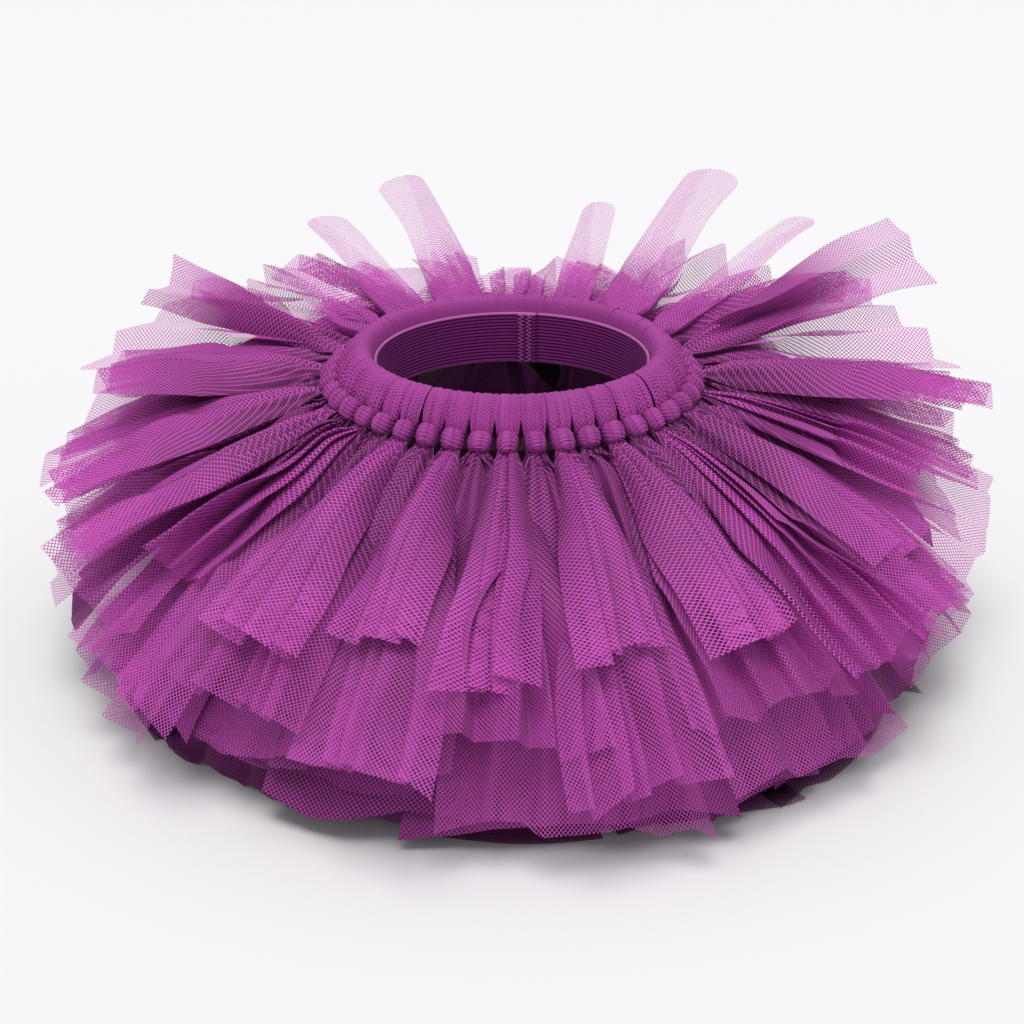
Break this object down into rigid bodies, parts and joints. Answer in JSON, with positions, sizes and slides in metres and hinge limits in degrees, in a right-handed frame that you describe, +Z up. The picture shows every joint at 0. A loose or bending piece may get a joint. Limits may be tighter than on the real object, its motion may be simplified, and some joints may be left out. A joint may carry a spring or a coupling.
{
  "type": "tulle skirt",
  "caption": "Child's knotted tulle tutu that stands by itself: a ribbed elastic waist ring with looped, knotted tulle strips fanning out in tiers.",
  "frame": {"origin": "middle of the part's bounding box, on the surface that the lowest tails rest on", "axes": "+Z up along the waist's axis, the front towards -Y, +X to the viewer's right"},
  "size_m": [0.5266, 0.528, 0.2225],
  "materials": {
    "tulle": "sheer nylon net, soft sheen",
    "elastic": "matte ribbed woven elastic"
  },
  "bodies": {
    "root": {"elastic_band": "elastic", "strip_01": "tulle", "strip_02": "tulle", "strip_03": "tulle", "strip_04": "tulle", "strip_05": "tulle", "strip_06": "tulle", "strip_07": "tulle", "strip_08": "tulle", "strip_09": "tulle", "strip_10": "tulle", "strip_11": "tulle", "strip_12": "tulle", "strip_13": "tulle", "strip_14": "tulle", "strip_15": "tulle", "strip_16": "tulle", "strip_17": "tulle", "strip_18": "tulle", "strip_19": "tulle", "strip_20": "tulle", "strip_21": "tulle", "strip_22": "tulle", "strip_23": "tulle", "strip_24": "tulle", "strip_25": "tulle", "strip_26": "tulle", "strip_27": "tulle", "strip_28": "tulle", "strip_29": "tulle", "strip_30": "tulle", "strip_31": "tulle", "strip_32": "tulle", "strip_33": "tulle", "strip_34": "tulle", "strip_35": "tulle", "strip_36": "tulle", "strip_37": "tulle", "strip_38": "tulle", "strip_39": "tulle", "strip_40": "tulle", "strip_41": "tulle", "strip_42": "tulle", "strip_43": "tulle", "strip_44": "tulle"}
  },
  "joints": []
}
